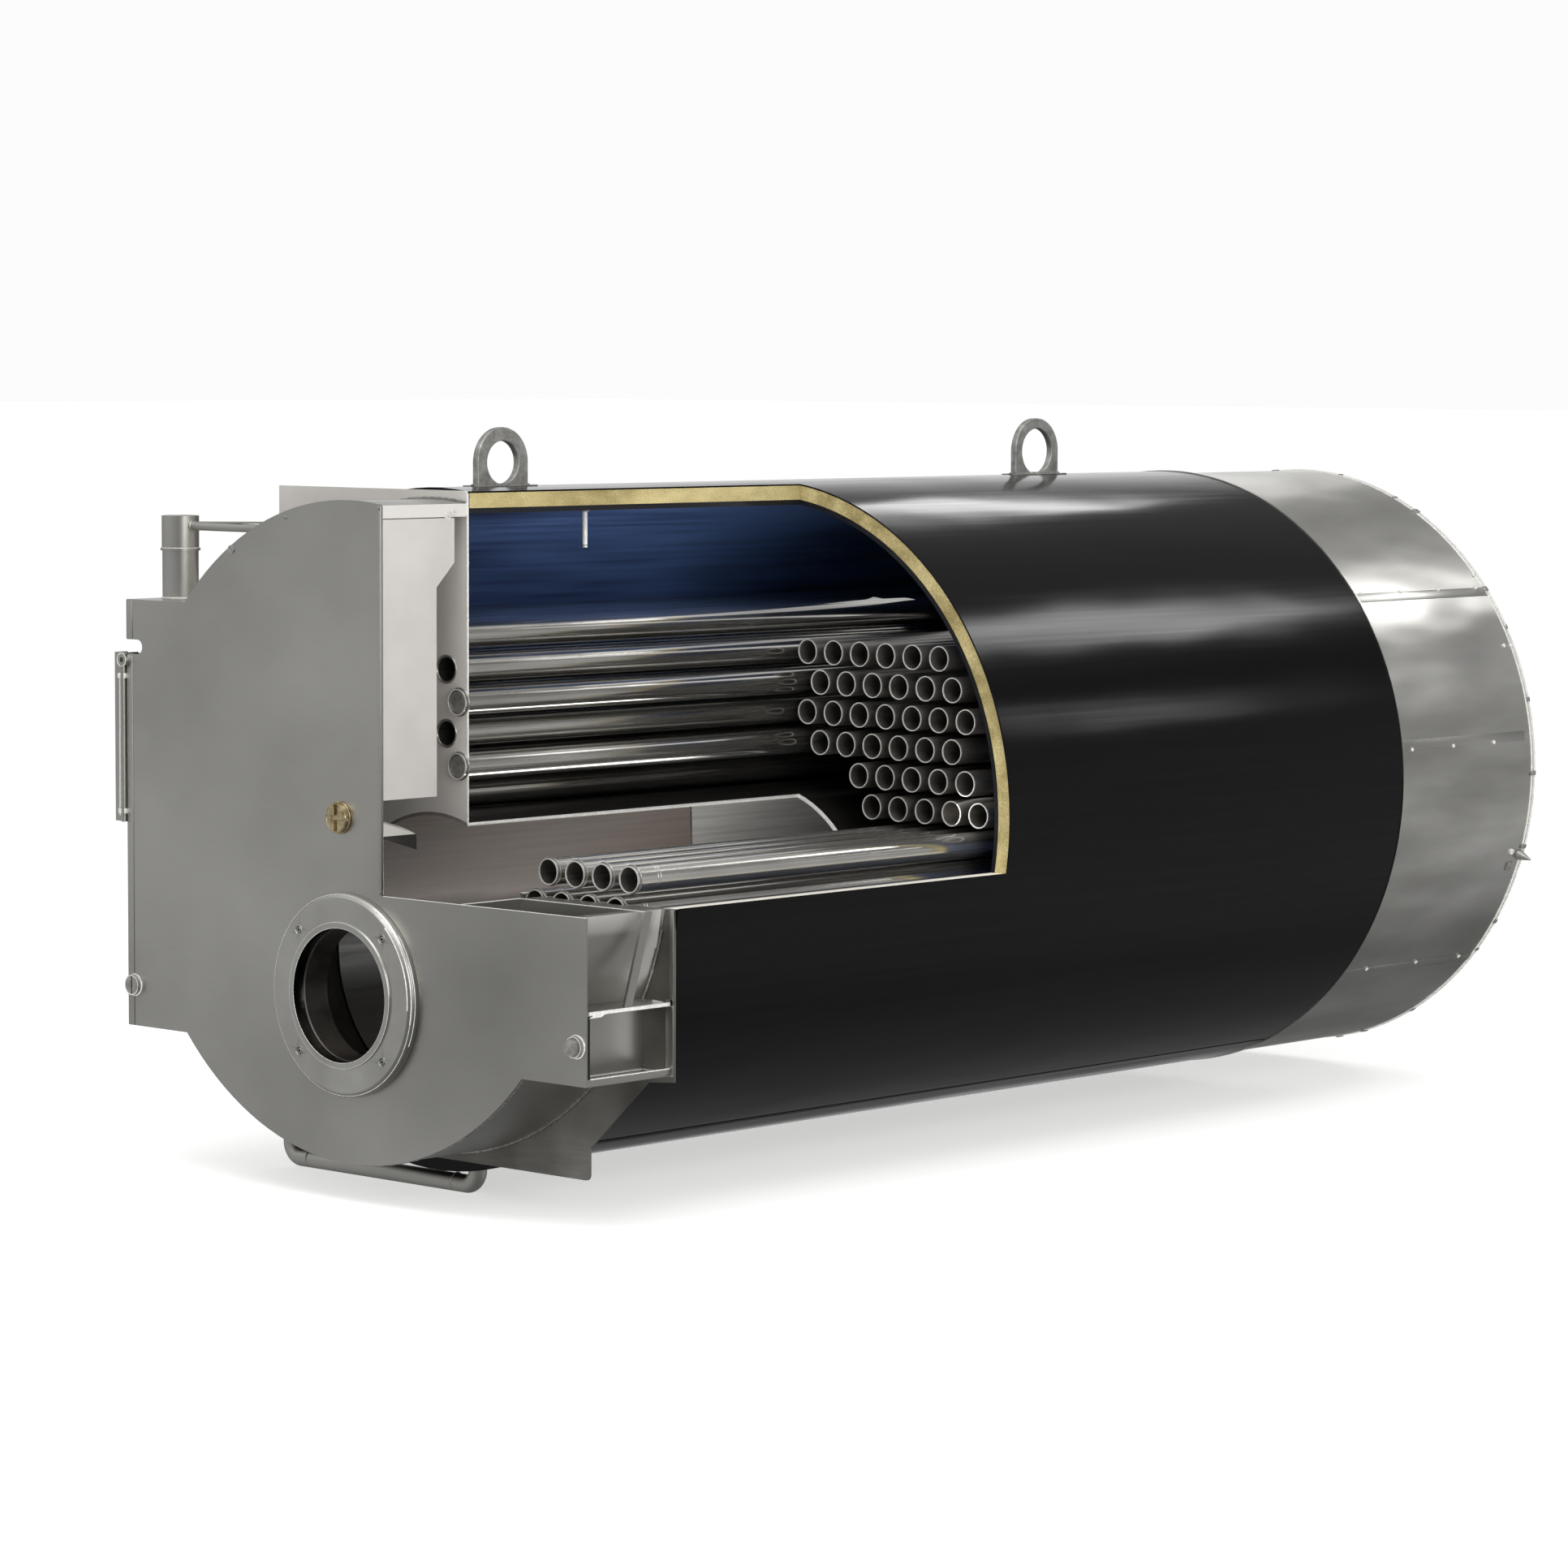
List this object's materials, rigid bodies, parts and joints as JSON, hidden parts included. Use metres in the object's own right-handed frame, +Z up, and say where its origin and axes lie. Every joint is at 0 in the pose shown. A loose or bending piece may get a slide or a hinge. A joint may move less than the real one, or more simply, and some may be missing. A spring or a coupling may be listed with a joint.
{
  "type": "cut-away fire-tube boiler",
  "caption": "Horizontal fire-tube boiler with a quarter cut away to show its tube bundle, furnace and shell layers.",
  "frame": {"origin": "centre of the burner opening at the outer face of the front plate", "axes": "+X right seen from the front, +Y from the front plate to the rear along the boiler axis, +Z up"},
  "size_m": [1.323, 3.039, 1.459],
  "materials": {
    "stainless": "satin",
    "stainless_rear": "satin",
    "black_paint": "satin",
    "mineral_wool": "matte",
    "blue_paint": "gloss",
    "tube_steel": "polished",
    "plate_steel": "satin",
    "tinted_steel": "satin",
    "lining": "matte",
    "brass": "polished",
    "lug_steel": "satin"
  },
  "bodies": {
    "root": {"front_plate": "stainless", "smokebox_drum": "stainless", "left_box_wall": "stainless", "left_box_top": "stainless", "left_box_bottom": "stainless", "right_box_floor": "stainless", "right_box_shelf": "stainless", "right_box_panel": "stainless", "right_box_strut": "stainless", "pocket_sheet": "stainless", "burner_flange": "stainless", "burner_sleeve": "stainless", "throat_ring": "lining", "door_lining": "lining", "front_tube_plate": "plate_steel", "rear_tube_plate": "plate_steel", "left_tubes": "tube_steel", "front_tubes": "tube_steel", "right_tubes": "tube_steel", "lower_right_tubes": "tube_steel", "furnace_tube": "tinted_steel", "outer_cladding": "black_paint", "insulation": "mineral_wool", "pressure_shell": "blue_paint", "lifting_lug_front": "lug_steel", "lifting_lug_rear": "lug_steel", "thermowell": "tube_steel", "boundary_trim": "stainless_rear", "rear_cladding": "stainless_rear", "rear_end_plate": "stainless_rear", "flue_collar": "stainless_rear", "cleanout_cover": "stainless_rear", "rear_clamp": "lug_steel", "vent_pipe": "stainless", "vent_sleeve": "stainless", "vent_rod": "stainless", "hinge_channel": "stainless", "hinge_pin": "stainless", "sight_knob": "brass", "left_latch": "lug_steel", "right_button": "lug_steel", "drain_loop": "stainless"}
  },
  "joints": []
}
